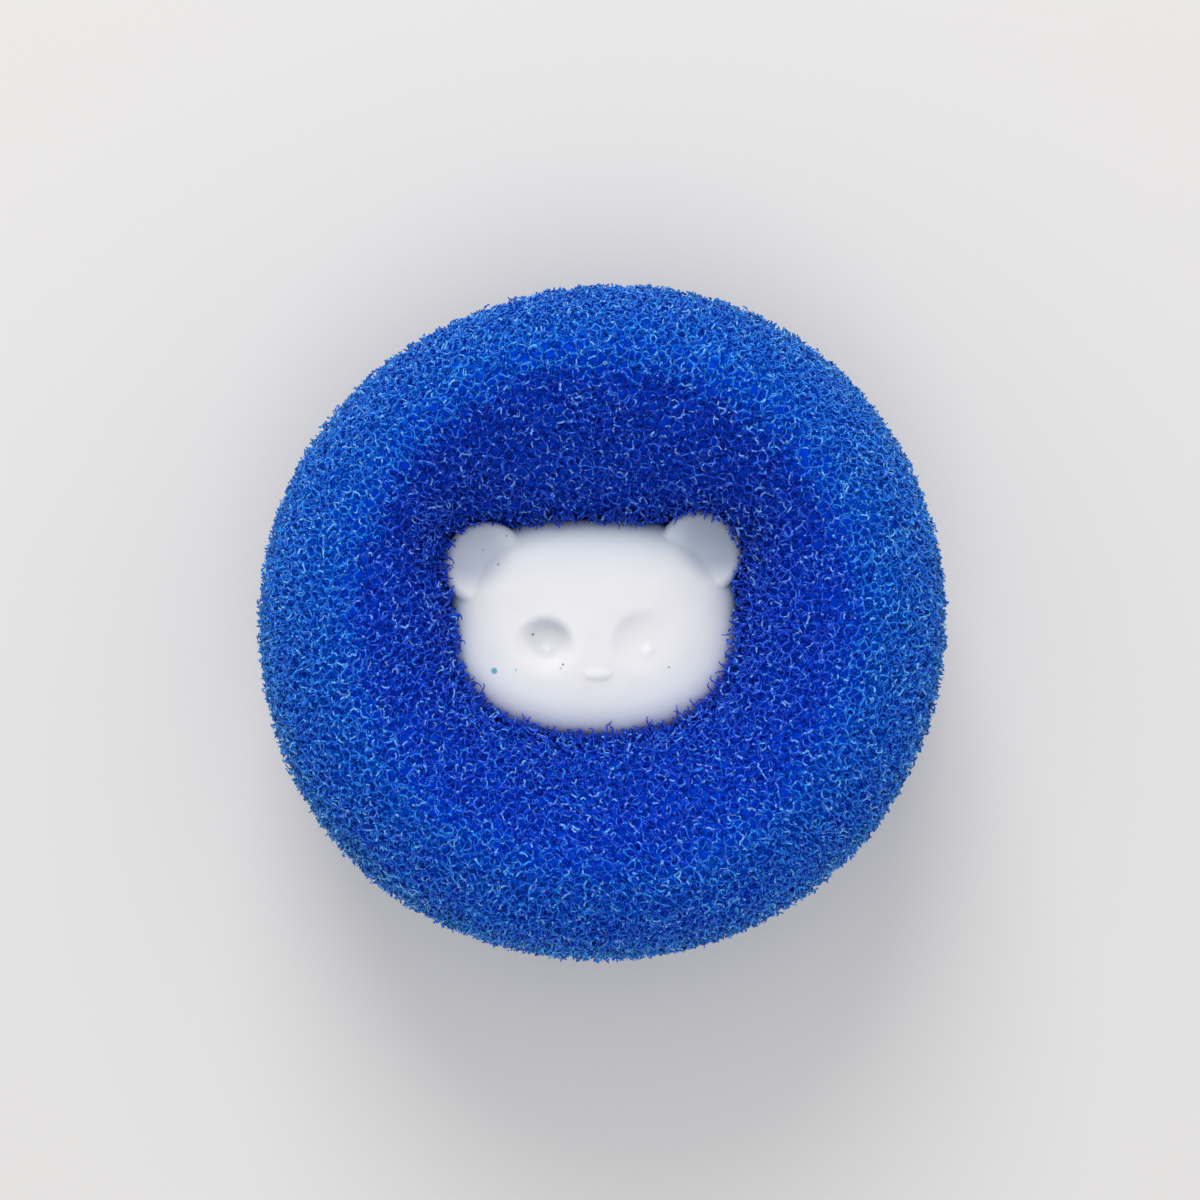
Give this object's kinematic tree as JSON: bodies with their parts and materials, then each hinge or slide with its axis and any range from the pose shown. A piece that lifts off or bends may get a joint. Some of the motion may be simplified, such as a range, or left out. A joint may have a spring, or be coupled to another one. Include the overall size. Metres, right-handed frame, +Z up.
{
  "type": "sponge laundry ball",
  "caption": "Doughnut-shaped open-cell foam laundry ball with a hollow plastic animal head squeezed into its hole, to catch lint and loosen washing in a drum.",
  "frame": {"origin": "on the flat underside of the foam ring, at the middle of the object's box seen from above", "axes": "+Z up along the ring's axis, out of the face; +X to the right of the face; +Y towards the ears"},
  "size_m": [0.07, 0.0692, 0.038],
  "materials": {
    "blue_foam": "matte",
    "white_plastic_front": "satin",
    "white_plastic_rear": "satin"
  },
  "bodies": {
    "sponge": {"sponge_ring": "blue_foam"},
    "head": {"head_front_shell": "white_plastic_front", "head_rear_shell": "white_plastic_rear"}
  },
  "joints": [
    {"name": "head_push_out", "type": "slide", "parent": "sponge", "child": "head", "axis": [0, 0, 1], "range_m": [0, 0.04], "deforming": ["sponge_ring"]}
  ]
}
